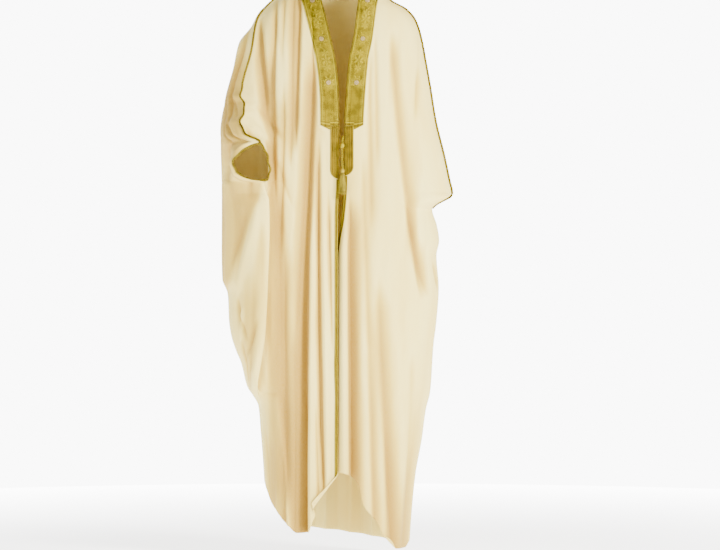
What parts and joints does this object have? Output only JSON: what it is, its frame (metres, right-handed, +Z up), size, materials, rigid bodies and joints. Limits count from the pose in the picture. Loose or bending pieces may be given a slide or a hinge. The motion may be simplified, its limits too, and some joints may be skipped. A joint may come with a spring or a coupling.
{
  "type": "bisht cloak",
  "caption": "Wide open-fronted bisht cloak of cream cloth, hollow as worn, with gold embroidered bands, seam piping, bound cuffs and a tassel cord",
  "frame": {"origin": "middle of the shoulder line at the neck, where the wearer's shoulders carry the cloak", "axes": "+Z up, -Y is the front, +X is the wearer's left"},
  "size_m": [0.6224, 0.4087, 1.5223],
  "materials": {
    "cream_crepe": "fine light crepe, soft matte with a faint sheen",
    "gold_band": "dense metallic gold embroidery",
    "gold_trim": "twisted metallic gold thread",
    "tassel_thread": "gold and pale silk thread"
  },
  "bodies": {
    "root": {"front_right": "cream_crepe", "front_left": "cream_crepe", "back": "cream_crepe", "band_right": "gold_band", "band_left": "gold_band", "neck_band": "gold_band", "lower_band_right": "gold_band", "lower_band_left": "gold_band", "edge_trim_right": "gold_trim", "edge_trim_left": "gold_trim", "seam_piping_right": "gold_trim", "seam_piping_left": "gold_trim", "cuff_trim_right": "gold_trim", "cuff_trim_left": "gold_trim", "tassel_cord": "tassel_thread", "tassel_knot": "tassel_thread", "tassel_head": "tassel_thread", "tassel_skirt": "tassel_thread"}
  },
  "joints": []
}
